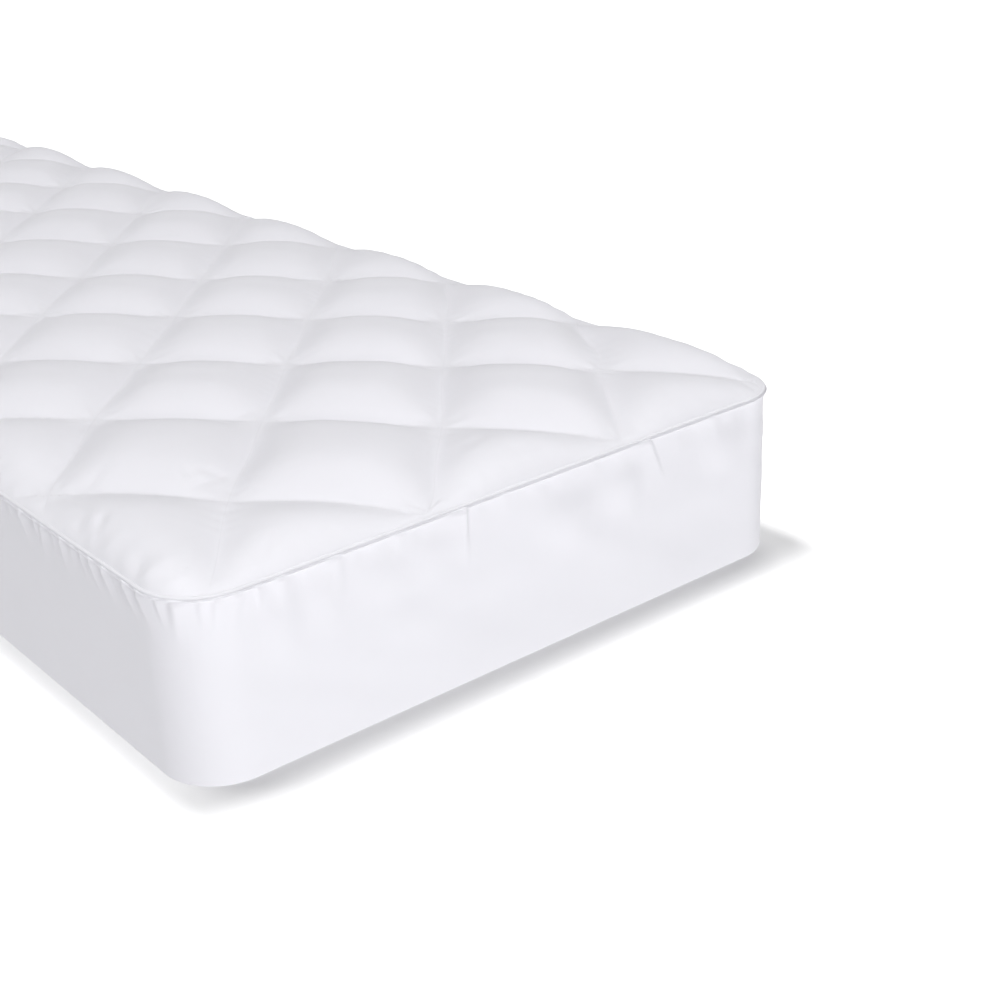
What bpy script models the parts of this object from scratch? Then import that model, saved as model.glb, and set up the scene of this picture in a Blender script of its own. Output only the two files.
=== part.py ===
"""A quilted mattress topper fitted over a small single mattress.

Four pieces: the filled top panel with its diamond quilting, the piping round its edge, the deep skirt that
is sewn on under the piping and turned in below the mattress, and the plain mattress itself.
X runs across the foot end, Y along the mattress from the foot end, and Z up from the floor.
"""

import math

import bmesh
import bpy

# Driving dimensions, in metres
WIDTH = 0.75  # across the foot end, over the skirt
LENGTH = 2.0  # along the mattress, over the skirt
SEAM_HEIGHT = 0.185  # from the floor to the middle of the piping
CORNER_RADIUS = 0.06  # of the skirt's upright corners
CLOTH = 0.002  # thickness of the skirt's cloth
GAP = 0.0003  # between pieces that touch
PIPING_RADIUS = 0.0023
PIPING_PROUD = 0.0015  # how far the piping stands out from the skirt
PIPING_RUN = 0.21  # distance between its points along a straight side
PIPING_CORNER_STEPS = 14

# The quilting: diamonds whose corners touch along and across the panel
DIAMOND_WIDTH = 0.2316
DIAMOND_LENGTH = 0.2687
QUILT_START_X = -0.0828  # first crossing, from the panel's left edge
QUILT_START_Y = 0.1429  # first crossing, from the foot end
CELLS = 10  # mesh cells along a diamond's diagonal
EDGE_THICKNESS = 0.0065  # the panel's thickness at the seam
CROSSING_RISE = 0.0145  # how far the crossings inside the panel lie above the seam
STITCH_RISE = 0.003  # how far a line of stitches rises between two crossings
PUFF = 0.02  # how far a diamond's middle rises above its stitches
PUFF_SHAPE = 2.75  # the higher, the flatter the diamond's top
PUFF_PINCH = 1.25  # the higher, the softer the valley at the stitches
PUFF_RIDGES = 0.1  # share of the diamond that rises like a roof, with ridges to its corners
CROSSING_ROLL = 0.118  # how far in from the seam the panel's middle plane reaches its full height
PUFF_ROLL = 0.049  # and the puffs theirs
EDGE_STEPS = (0.0, 0.003, 0.009, 0.019)  # mesh lines beside the seam, as distances from it

# Where the sewn lines stray from the even lattice: the crossing's two line numbers, and its shift
STRAY_REACH = 0.085
STRAY_HOLD = 0.014  # the shifts die out this close to the seam
STRAYS = (
    # first, second, x, y
    (0, 1, 0.009, 0.002),
    (1, 0, -0.010, 0.005),
    (1, 1, -0.014, -0.006),
    (1, 2, -0.001, -0.014),
    (2, -1, -0.001, -0.002),
    (2, 0, -0.006, 0.010),
    (2, 1, 0.003, 0.013),
    (2, 2, 0.007, -0.001),
    (2, 3, 0.009, -0.004),
    (3, -1, 0.002, 0.003),
    (3, 0, 0.000, 0.006),
    (3, 1, 0.003, 0.013),
    (3, 2, 0.008, 0.012),
    (3, 3, 0.005, 0.008),
    (3, 4, 0.000, 0.005),
    (4, 0, 0.004, 0.001),
    (4, 1, 0.000, 0.004),
    (4, 2, -0.005, 0.004),
    (4, 3, -0.005, 0.034),
    (5, -1, 0.004, -0.007),
    (5, 0, -0.003, -0.009),
    (5, 1, -0.004, -0.005),
    (5, 2, -0.008, 0.019),
    (6, -2, 0.005, -0.002),
    (6, -1, 0.004, -0.008),
    (6, 0, -0.001, -0.008),
    (6, 1, -0.005, 0.008),
    (7, -2, 0.008, 0.000),
    (7, -1, 0.006, -0.005),
    (7, 0, -0.004, 0.002),
    (8, -2, 0.005, 0.000),
    (9, -2, 0.000, 0.006),
    (10, -3, 0.002, -0.004),
)

# How full a diamond is beside the others: the two line numbers of its nearest crossing, and its share
FULLNESS = {
    (0, 0): 0.92,
    (0, 1): 0.84,
    (1, -1): 0.91,
    (1, 0): 1.10,
    (1, 1): 1.23,
    (1, 2): 0.99,
    (2, 0): 1.09,
    (2, 1): 1.24,
    (2, 2): 1.25,
    (2, 3): 0.87,
    (3, 1): 1.10,
    (3, 2): 1.06,
    (4, -2): 0.94,
    (4, 1): 0.93,
    (4, 2): 0.96,
    (5, -2): 0.94,
    (5, -1): 0.94,
    (5, 0): 0.93,
    (5, 1): 0.87,
    (6, -1): 0.96,
    (6, 0): 0.86,
    (7, -3): 1.05,
    (7, -2): 1.03,
    (7, -1): 0.92,
    (8, -3): 1.14,
    (8, -2): 0.94,
}

# The skirt below the piping
HEM_TURN = 0.055  # how far the hem reaches in under the mattress
HEM_FOLD = 0.005  # radius of the fold at the floor
FOLD_STEPS = 3
WALL_HEIGHTS = (0.172, 0.158, 0.135, 0.105, 0.06, 0.025)  # mesh rows between the seam and the floor
CORNER_STEPS = 7
FINE_RUN = 0.021  # distance between the mesh's columns on the two sides with folds
PLAIN_RUN = 0.085  # and on the two plain sides
EASE = 0.0025  # room between the skirt's inner face and the mattress, for the folds
MATTRESS_EDGE = 0.01

# The skirt's soft folds under the seam: side, place along the side from the near left corner,
# half of the width, depth (inwards is negative) and how far down from the seam the fold reaches
FOLDS = (
    # side, place, half_width, depth, reach
    ("left", 0.085, 0.030, -0.0018, 0.120),
    ("left", 0.150, 0.032, 0.0010, 0.100),
    ("left", 0.215, 0.034, -0.0020, 0.130),
    ("left", 0.300, 0.036, 0.0010, 0.110),
    ("left", 0.375, 0.040, -0.0016, 0.120),
    ("left", 0.480, 0.045, 0.0010, 0.090),
    ("left", 0.620, 0.050, -0.0014, 0.110),
    ("left", 0.860, 0.060, -0.0012, 0.090),
    ("left", 1.190, 0.060, -0.0014, 0.100),
    ("left", 1.560, 0.060, -0.0012, 0.090),
    ("foot", 0.090, 0.030, -0.0016, 0.110),
    ("foot", 0.165, 0.034, 0.0008, 0.100),
    ("foot", 0.300, 0.030, -0.0016, 0.080),
    ("foot", 0.390, 0.045, 0.0008, 0.090),
    ("foot", 0.560, 0.034, -0.0014, 0.090),
)

SEAM_TOP = SEAM_HEIGHT - PIPING_RADIUS - GAP  # the skirt's upper edge
PIPING_INSET = PIPING_RADIUS - PIPING_PROUD
PANEL_INSET = PIPING_INSET + PIPING_RADIUS + GAP
PANEL_BOTTOM = SEAM_HEIGHT - EDGE_THICKNESS
MATTRESS_INSET = CLOTH + EASE
MATTRESS_BOTTOM = CLOTH + GAP
MATTRESS_TOP = PANEL_BOTTOM - GAP


def material(name, colour, roughness):
    """A matt cloth of one colour."""
    cloth = bpy.data.materials.new(name)
    cloth.use_nodes = True
    shader = cloth.node_tree.nodes["Principled BSDF"]
    shader.inputs["Base Color"].default_value = (*colour, 1.0)
    shader.inputs["Roughness"].default_value = roughness
    shader.inputs["Metallic"].default_value = 0.0
    return cloth


def add_object(name, data, collection, cloth):
    """Puts a mesh or curve into the collection as a named object."""
    thing = bpy.data.objects.new(name, data)
    data.materials.append(cloth)
    collection.objects.link(thing)
    return thing


def squeeze_corner(x, y, half_width, half_length, radius):
    """Moves a point of a rectangle so that the rectangle's square corners become round ones."""
    over_x = abs(x) - (half_width - radius)
    over_y = abs(y) - (half_length - radius)
    if over_x <= 0.0 or over_y <= 0.0:
        return x, y
    scale = max(over_x, over_y) / math.hypot(over_x, over_y)
    new_x = half_width - radius + over_x * scale
    new_y = half_length - radius + over_y * scale
    return math.copysign(new_x, x), math.copysign(new_y, y)


def distance_from_edge(x, y, half_width, half_length, radius):
    """How far inside a rounded rectangle a point lies."""
    over_x = abs(x) - (half_width - radius)
    over_y = abs(y) - (half_length - radius)
    outside = math.hypot(max(over_x, 0.0), max(over_y, 0.0))
    inside = min(max(over_x, over_y), 0.0)
    return max(radius - outside - inside, 0.0)


def outline(inset, foot_run=FINE_RUN, plain_run=PLAIN_RUN, corner_steps=CORNER_STEPS):
    """Points round the rounded rectangle, each with its outward direction, its side and its place there.

    It starts at the near left corner and runs along the foot end first.
    """
    radius = CORNER_RADIUS - inset
    straight_x = WIDTH / 2 - CORNER_RADIUS
    straight_y = LENGTH / 2 - CORNER_RADIUS
    runs = (
        # side, corner at the run's start, its turn, the way along, length, spacing, whether it starts near
        ("foot", (-straight_x, -straight_y), math.pi, (1, 0), 2 * straight_x, foot_run, True),
        ("right", (straight_x, -straight_y), 1.5 * math.pi, (0, 1), 2 * straight_y, plain_run, True),
        ("head", (straight_x, straight_y), 0.0, (-1, 0), 2 * straight_x, plain_run, False),
        ("left", (-straight_x, straight_y), 0.5 * math.pi, (0, -1), 2 * straight_y, foot_run, False),
    )
    points = []
    for side, (corner_x, corner_y), start, (way_x, way_y), length, spacing, from_near in runs:
        for step in range(corner_steps):
            turn = start + 0.5 * math.pi * step / corner_steps
            out = (math.cos(turn), math.sin(turn))
            points.append((corner_x + radius * out[0], corner_y + radius * out[1], out, side, None))
        out = (way_y, -way_x)
        count = round(length / spacing)
        for step in range(count):
            run = length * step / count
            x = corner_x + radius * out[0] + way_x * run
            y = corner_y + radius * out[1] + way_y * run
            place = CORNER_RADIUS + (run if from_near else length - run)
            points.append((x, y, out, side, place))
    return points


def fold_depth(side, place, height):
    """How far the skirt's folds move its cloth outwards at a place under the seam."""
    if place is None:
        return 0.0
    depth = 0.0
    for fold_side, fold_place, half_width, fold, reach in FOLDS:
        across = abs(place - fold_place) / half_width
        down = (SEAM_TOP - height) / reach
        if side == fold_side and across < 1.0 and down < 1.0:
            depth += fold * math.cos(0.5 * math.pi * across) ** 2 * math.sin(math.pi * down**0.6)
    return depth


def stray(x, y):
    """How far the sewn lines stray from the even lattice around a place on the panel."""
    shift_x, shift_y = 0.0, 0.0
    for first, second, crossing_x, crossing_y in STRAYS:
        away_x = x + WIDTH / 2 - QUILT_START_X - (first + second) / 2 * DIAMOND_WIDTH
        away_y = y + LENGTH / 2 - QUILT_START_Y - (first - second) / 2 * DIAMOND_LENGTH
        nearness = math.exp(-(away_x * away_x + away_y * away_y) / STRAY_REACH**2)
        shift_x += crossing_x * nearness
        shift_y += crossing_y * nearness
    return shift_x, shift_y


def sewn_place(even_x, even_y):
    """Moves a place on the even lattice to where the panel's real lines run, but not off its edge."""
    x, y = even_x, even_y
    for _ in range(6):
        shift_x, shift_y = stray(x, y)
        fade_x = math.exp((abs(x) - WIDTH / 2 + PANEL_INSET) / STRAY_HOLD)
        fade_y = math.exp((abs(y) - LENGTH / 2 + PANEL_INSET) / STRAY_HOLD)
        slope_x = 1.0 + shift_x * math.copysign(fade_x, x) / STRAY_HOLD
        slope_y = 1.0 + shift_y * math.copysign(fade_y, y) / STRAY_HOLD
        x -= (x - shift_x * (1.0 - fade_x) - even_x) / max(slope_x, 0.25)
        y -= (y - shift_y * (1.0 - fade_y) - even_y) / max(slope_y, 0.25)
    return x, y


def roll(inside, reach):
    """The share of its height that the panel has at a distance from the seam, on a quarter ellipse."""
    return math.sqrt(1.0 - (1.0 - min(inside / reach, 1.0)) ** 2)


def panel_height(even_x, even_y, inside):
    """How far the panel rises above the seam, at a place on the even lattice and its distance inside."""
    across = (even_x + WIDTH / 2 - QUILT_START_X) / DIAMOND_WIDTH
    along = (even_y + LENGTH / 2 - QUILT_START_Y) / DIAMOND_LENGTH
    first, second = across + along, across - along
    rise = []
    for line in (first, second):
        away = min(abs(line - round(line)), 0.5)
        rise.append((1.0 - (1.0 - 2.0 * away) ** PUFF_SHAPE) ** PUFF_PINCH)
    dome = (1.0 - PUFF_RIDGES) * rise[0] * rise[1] + PUFF_RIDGES * min(rise)
    dome *= PUFF * FULLNESS.get((math.floor(first), math.floor(second)), 1.0)
    held = STITCH_RISE * max(rise) ** 2
    return CROSSING_RISE * roll(inside, CROSSING_ROLL) + (dome + held) * roll(inside, PUFF_ROLL)


def grid_lines(extent, start, pitch):
    """Mesh lines from one edge of the panel to the other, on the lattice and closer beside each edge."""
    half = extent / 2 - PANEL_INSET
    near = [-half + step for step in EDGE_STEPS]
    far = [half - step for step in reversed(EDGE_STEPS)]
    cell = pitch / CELLS
    first = math.ceil((near[-1] + extent / 2 - start) / cell + 0.4)
    last = math.floor((far[0] + extent / 2 - start) / cell - 0.4)
    return near + [start - extent / 2 + cell * step for step in range(first, last + 1)] + far


def split_along_stitches(mesh, xs, ys):
    """Cuts each cell of the grid in two, along the line of stitches where one crosses it."""
    corners = {}
    for vertex in mesh.verts:
        corners[(vertex[mesh.verts.layers.int["column"]], vertex[mesh.verts.layers.int["row"]])] = vertex
    for column in range(len(xs) - 1):
        for row in range(len(ys) - 1):
            across = ((xs[column] + xs[column + 1]) / 2 + WIDTH / 2 - QUILT_START_X) / DIAMOND_WIDTH
            along = ((ys[row] + ys[row + 1]) / 2 + LENGTH / 2 - QUILT_START_Y) / DIAMOND_LENGTH
            rising = abs((across - along) - round(across - along))
            falling = abs((across + along) - round(across + along))
            if rising < falling:
                pair = (corners[(column, row)], corners[(column + 1, row + 1)])
            else:
                pair = (corners[(column + 1, row)], corners[(column, row + 1)])
            bmesh.ops.connect_verts(mesh, verts=pair)


def quilted_panel(collection, cloth):
    """One filled solid: crowned diamonds between sewn lines, drawn down to the seam all round."""
    half_width = WIDTH / 2 - PANEL_INSET
    half_length = LENGTH / 2 - PANEL_INSET
    radius = CORNER_RADIUS - PANEL_INSET
    xs = grid_lines(WIDTH, QUILT_START_X, DIAMOND_WIDTH)
    ys = grid_lines(LENGTH, QUILT_START_Y, DIAMOND_LENGTH)
    mesh = bmesh.new()
    bmesh.ops.create_grid(mesh, x_segments=len(xs) - 1, y_segments=len(ys) - 1, size=1.0)
    column_layer = mesh.verts.layers.int.new("column")
    row_layer = mesh.verts.layers.int.new("row")
    for vertex in mesh.verts:
        column = round((vertex.co.x + 1.0) / 2.0 * (len(xs) - 1))
        row = round((vertex.co.y + 1.0) / 2.0 * (len(ys) - 1))
        vertex[column_layer] = column
        vertex[row_layer] = row
        x, y = squeeze_corner(*sewn_place(xs[column], ys[row]), half_width, half_length, radius)
        inside = distance_from_edge(x, y, half_width, half_length, radius)
        vertex.co = (x, y, SEAM_HEIGHT + panel_height(xs[column], ys[row], inside))
    split_along_stitches(mesh, xs, ys)
    rim = [edge for edge in mesh.edges if edge.is_boundary]
    sides = bmesh.ops.extrude_edge_only(mesh, edges=rim)["geom"]
    for vertex in sides:
        if isinstance(vertex, bmesh.types.BMVert):
            vertex.co.z = PANEL_BOTTOM
    bmesh.ops.contextual_create(mesh, geom=[edge for edge in mesh.edges if edge.is_boundary])
    bmesh.ops.recalc_face_normals(mesh, faces=mesh.faces)
    data = bpy.data.meshes.new("quilted_panel")
    mesh.to_mesh(data)
    mesh.free()
    data.shade_smooth()
    return add_object("quilted_panel", data, collection, cloth)


def edge_piping(collection, cloth):
    """A thin cord round the panel's edge, in the seam between the panel and the skirt."""
    curve = bpy.data.curves.new("edge_piping", "CURVE")
    curve.dimensions = "3D"
    curve.bevel_depth = PIPING_RADIUS
    curve.bevel_resolution = 2
    curve.use_fill_caps = True
    points = outline(PIPING_INSET, PIPING_RUN, PIPING_RUN, PIPING_CORNER_STEPS)
    spline = curve.splines.new("POLY")
    spline.points.add(len(points) - 1)
    for point, (x, y, _, _, _) in zip(spline.points, points):
        point.co = (x, y, SEAM_HEIGHT, 1.0)
    spline.use_cyclic_u = True
    return add_object("edge_piping", curve, collection, cloth)


def skirt_section():
    """The skirt's outer face from its upper edge to the hem's inner edge, as inset and height."""
    section = [(0.0, SEAM_TOP)]
    section += [(0.0, height) for height in WALL_HEIGHTS]
    for step in range(FOLD_STEPS + 1):
        turn = 0.5 * math.pi * step / FOLD_STEPS
        section.append((HEM_FOLD * (1.0 - math.cos(turn)), HEM_FOLD * (1.0 - math.sin(turn))))
    section.append((HEM_TURN, 0.0))
    return section


def skirt(collection, cloth):
    """One band of cloth round the mattress, sewn up under the piping and turned in at the floor."""
    section = skirt_section()
    rings = [outline(inset) for inset, _ in section]
    columns = len(rings[0])
    mesh = bmesh.new()
    bmesh.ops.create_grid(mesh, x_segments=columns, y_segments=len(section) - 1, size=1.0)
    for vertex in mesh.verts:
        column = round((vertex.co.x + 1.0) / 2.0 * columns) % columns
        row = round((1.0 - vertex.co.y) / 2.0 * (len(section) - 1))
        x, y, out, side, place = rings[row][column]
        height = section[row][1]
        depth = fold_depth(side, place, height)
        vertex.co = (x + out[0] * depth, y + out[1] * depth, height)
    bmesh.ops.remove_doubles(mesh, verts=mesh.verts, dist=0.00005)
    bmesh.ops.recalc_face_normals(mesh, faces=mesh.faces)
    data = bpy.data.meshes.new("skirt")
    mesh.to_mesh(data)
    mesh.free()
    data.shade_smooth()
    band = add_object("skirt", data, collection, cloth)
    thickness = band.modifiers.new("thickness", "SOLIDIFY")
    thickness.thickness = CLOTH
    thickness.offset = -1.0
    thickness.use_even_offset = True
    return band


def mattress(collection, cloth):
    """The plain block that the topper is fitted over."""
    height = MATTRESS_TOP - MATTRESS_BOTTOM
    size = (WIDTH - 2 * MATTRESS_INSET, LENGTH - 2 * MATTRESS_INSET, height)
    mesh = bmesh.new()
    bmesh.ops.create_cube(mesh, size=1.0)
    bmesh.ops.scale(mesh, vec=size, verts=mesh.verts)
    upright = [edge for edge in mesh.edges if abs(edge.verts[0].co.z - edge.verts[1].co.z) > height / 2]
    bmesh.ops.bevel(
        mesh,
        geom=upright,
        offset=CORNER_RADIUS - MATTRESS_INSET,
        segments=CORNER_STEPS,
        profile=0.5,
        affect="EDGES",
    )
    data = bpy.data.meshes.new("mattress")
    mesh.to_mesh(data)
    mesh.free()
    block = add_object("mattress", data, collection, cloth)
    block.location.z = MATTRESS_BOTTOM + height / 2
    rounding = block.modifiers.new("rounding", "BEVEL")
    rounding.width = MATTRESS_EDGE
    rounding.segments = 3
    rounding.limit_method = "ANGLE"
    rounding.angle_limit = math.radians(40)
    return block


def main():
    for old in list(bpy.data.objects):
        bpy.data.objects.remove(old)
    collection = bpy.data.collections.new("mattress_topper")
    bpy.context.scene.collection.children.link(collection)
    quilt_cloth = material("quilt_cloth", (0.84, 0.85, 0.87), 0.8)
    piping_cloth = material("piping_cloth", (0.82, 0.83, 0.85), 0.8)
    skirt_cloth = material("skirt_cloth", (0.83, 0.84, 0.86), 0.85)
    ticking = material("ticking", (0.78, 0.77, 0.74), 0.9)
    quilted_panel(collection, quilt_cloth)
    edge_piping(collection, piping_cloth)
    skirt(collection, skirt_cloth)
    mattress(collection, ticking)


main()
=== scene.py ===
"""Looks of a quilted mattress topper fitted over a small single mattress.

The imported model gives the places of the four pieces. Here the top panel gets its full puffs, the creases at
its stitches and the stitches themselves, the piping its covered cord, and the skirt its gathers and pleats.
X runs across the foot end, Y along the mattress from the foot end, and Z up from the floor.
"""

import logging
import math
import random
from dataclasses import dataclass, field
from enum import Enum

import bmesh
import bpy
import numpy as np
from bpy.types import ID, Material, Node, NodeSocket, NodeTree, Object
from mathutils import Matrix, Vector


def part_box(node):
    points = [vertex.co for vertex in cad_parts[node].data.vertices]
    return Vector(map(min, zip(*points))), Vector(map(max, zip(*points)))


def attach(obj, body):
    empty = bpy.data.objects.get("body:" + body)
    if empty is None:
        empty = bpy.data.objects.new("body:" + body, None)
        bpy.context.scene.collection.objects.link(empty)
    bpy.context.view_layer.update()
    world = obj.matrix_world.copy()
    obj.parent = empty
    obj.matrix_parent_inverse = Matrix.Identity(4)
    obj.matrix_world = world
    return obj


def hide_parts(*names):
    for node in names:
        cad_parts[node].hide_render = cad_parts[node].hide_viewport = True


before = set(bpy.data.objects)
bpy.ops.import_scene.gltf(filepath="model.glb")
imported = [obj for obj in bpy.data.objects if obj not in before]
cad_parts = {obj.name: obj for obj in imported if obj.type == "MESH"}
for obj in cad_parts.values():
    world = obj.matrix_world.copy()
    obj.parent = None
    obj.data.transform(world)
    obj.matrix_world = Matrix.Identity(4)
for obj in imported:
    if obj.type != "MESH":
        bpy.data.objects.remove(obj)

LOG = logging.getLogger("mattress_topper")
BODY = "root"
CLOTH_MAP = "cloth"
Array = np.ndarray
Steps = tuple[tuple[float, float], ...]
Triple = tuple[float, float, float]


class Weave(Enum):
    """How a cloth's threads lie."""

    PLAIN = "plain"
    KNIT = "knit"
    TWILL = "twill"


class FoldShape(Enum):
    """The section of a fold in the skirt."""

    TROUGH = "trough"
    RIDGE = "ridge"
    CREASE = "crease"
    PLEAT = "pleat"


TROUGH, RIDGE, CREASE, PLEAT = FoldShape
# The share of its half width that a one-sided fold's steep side takes
STEEP_SIDE = {CREASE: 0.2, PLEAT: 0.5}


@dataclass(frozen=True)
class Fold:
    """A fold that starts at the skirt's seam and dies out below it; a negative width mirrors it."""

    place: float
    half_width: float
    depth: float
    reach: float
    lean: float
    shape: FoldShape


@dataclass(frozen=True)
class Swell:
    """A soft bulge of the skirt, or a hollow where its height is negative."""

    place: float
    level: float
    half_width: float
    half_height: float
    proud: float


@dataclass(frozen=True)
class Dent:
    """A small crease in the top panel, with its middle measured from the near left corner."""

    x: float
    y: float
    turn: float
    half_length: float
    half_width: float
    depth: float


def smooth_noise(x: Array, y: Array, size: float, seed: float) -> Array:
    """A gentle, endless unevenness made of a few crossing waves.

    Args:
        x: Places along the first direction.
        y: Places along the second direction.
        size: The distance over which it changes.
        seed: A number that shifts the waves.

    Returns:
        Values between about -1 and 1.
    """
    a, b = x / size, y / size
    waves = (
        np.sin(1.31 * a + 2.07 * b + seed)
        + np.sin(2.63 * a - 1.17 * b + 1.7 * seed)
        + np.sin(-1.93 * a + 3.11 * b + 2.9 * seed)
        + 0.6 * np.sin(4.37 * a + 3.71 * b + 0.6 * seed)
    )
    return waves / 3.0


def column(pair: tuple[float, float]) -> Array:
    """A pair of sizes across and along, ready for sums with a row of places each."""
    return np.array(pair)[:, None]


def off_line(line: Array) -> Array:
    """How far line numbers are from the nearest whole one."""
    return np.abs(line - np.round(line))


def cell_chance(first: Array, second: Array, seed: float) -> Array:
    """A fixed number from 0 to 1 for each cell of a lattice, another set for each seed."""
    mixed = np.sin(first * 12.9898 + second * 78.233 + seed * 37.719) * 43758.5453
    return mixed - np.floor(mixed)


def new_object(name: str, data: ID) -> Object:
    """Links a new object to the scene.

    Args:
        name: The object's name.
        data: Its mesh, light or camera.

    Returns:
        The object.
    """
    thing = bpy.data.objects.new(name, data)
    bpy.context.scene.collection.objects.link(thing)
    return thing


def mesh_object(name: str, points: Array, faces: list, uvs: Array) -> Object:
    """Makes a smooth-shaded mesh object at the origin.

    Args:
        name: The object's name.
        points: One row of three coordinates for each point.
        faces: Lists of point numbers, one list for each face.
        uvs: The cloth's own coordinates in metres, one row for each point or for each corner of a face.

    Returns:
        The object, linked to the scene.
    """
    data = bpy.data.meshes.new(name)
    data.from_pydata(points.tolist(), [], faces)
    data.update()
    if len(uvs) == len(points):
        corners = np.empty(len(data.loops), dtype=np.int64)
        data.loops.foreach_get("vertex_index", corners)
        uvs = uvs[corners]
    layer = data.uv_layers.new(name=CLOTH_MAP)
    layer.data.foreach_set("uv", uvs.astype(np.float32).ravel())
    data.shade_smooth()
    return new_object(name, data)


@dataclass(frozen=True)
class Outline:
    """The rounded rectangle that the topper fills, seen from above."""

    width: float
    length: float
    radius: float

    @property
    def half(self) -> Array:
        """Half the width and half the length."""
        return column((self.width / 2, self.length / 2))

    @property
    def perimeter(self) -> float:
        """The length of the outline, once round."""
        straight = 2 * (self.width + self.length - 4 * self.radius)
        return straight + 2 * math.pi * self.radius

    def squeeze(self, spot: Array) -> Array:
        """Moves points of a rectangle so that its square corners become round ones.

        Args:
            spot: The points' places across and along.

        Returns:
            Their new places.
        """
        flat = self.half - self.radius
        over = np.maximum(np.abs(spot) - flat, 0.0)
        corner = over.min(axis=0) > 0.0
        scale = over.max(axis=0) / np.where(corner, np.hypot(*over), 1.0)
        return np.where(corner, np.sign(spot) * (flat + over * scale), spot)

    def depth(self, spot: Array, inset: float) -> Array:
        """How far inside an inset outline points lie.

        Args:
            spot: The points' places across and along.
            inset: How far inside the outline the inset one lies.

        Returns:
            Distances in metres, negative outside.
        """
        over = np.abs(spot) - (self.half - self.radius)
        outside = np.hypot(*np.maximum(over, 0.0))
        return self.radius - inset - outside - np.minimum(over.max(axis=0), 0.0)

    def place(self, run: Array, inset: float) -> tuple[Array, Array]:
        """Points on the outline at distances from the middle of the near left corner.

        Args:
            run: Distances along the outline, positive along the foot end.
            inset: How far inside the outline the points lie.

        Returns:
            The points' places across and along, and their outward directions.
        """
        quarter = math.pi * self.radius / 2
        flat = column((self.width - 2 * self.radius, self.length - 2 * self.radius))
        local = np.mod(run + quarter / 2, self.perimeter)
        spot, out = np.zeros((2, len(run))), np.zeros((2, len(run)))
        for turn, sides in enumerate(((-1, -1), (1, -1), (1, 1), (-1, 1))):
            here = local >= 0.0
            angle = math.pi + turn * math.pi / 2 + np.minimum(local, quarter) / self.radius
            way = np.array((np.cos(angle), np.sin(angle)))
            heading = math.pi * turn / 2
            ahead = column((math.cos(heading), math.sin(heading))) * np.maximum(local - quarter, 0.0)
            spot = np.where(here, column(sides) * flat / 2 + (self.radius - inset) * way + ahead, spot)
            out = np.where(here, way, out)
            local = local - quarter - flat[turn % 2]
        return spot, out


@dataclass(frozen=True)
class Wiring:
    """Adds nodes to one tree and joins them."""

    tree: NodeTree

    def add(self, kind: str, values: dict | None = None, **settings: object) -> Node:
        """Adds a node.

        Args:
            kind: The node's type.
            values: What its inputs get, by name or number.
            settings: The node's own settings.

        Returns:
            The node.
        """
        node = self.tree.nodes.new(kind)
        for name, value in settings.items():
            setattr(node, name, value)
        self.feed(node, values or {})
        return node

    def feed(self, node: Node, values: dict) -> None:
        """Fills a node's inputs.

        Args:
            node: The node.
            values: For each input's name or number, a socket to join to it or a plain value.
        """
        for label, value in values.items():
            if isinstance(value, NodeSocket):
                self.tree.links.new(value, node.inputs[label])
            else:
                node.inputs[label].default_value = value

    def sum(self, operation: str, *values: object) -> NodeSocket:
        """Adds a Math node for sockets or numbers and gives its result."""
        return self.add("ShaderNodeMath", dict(enumerate(values)), operation=operation).outputs[0]


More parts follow.
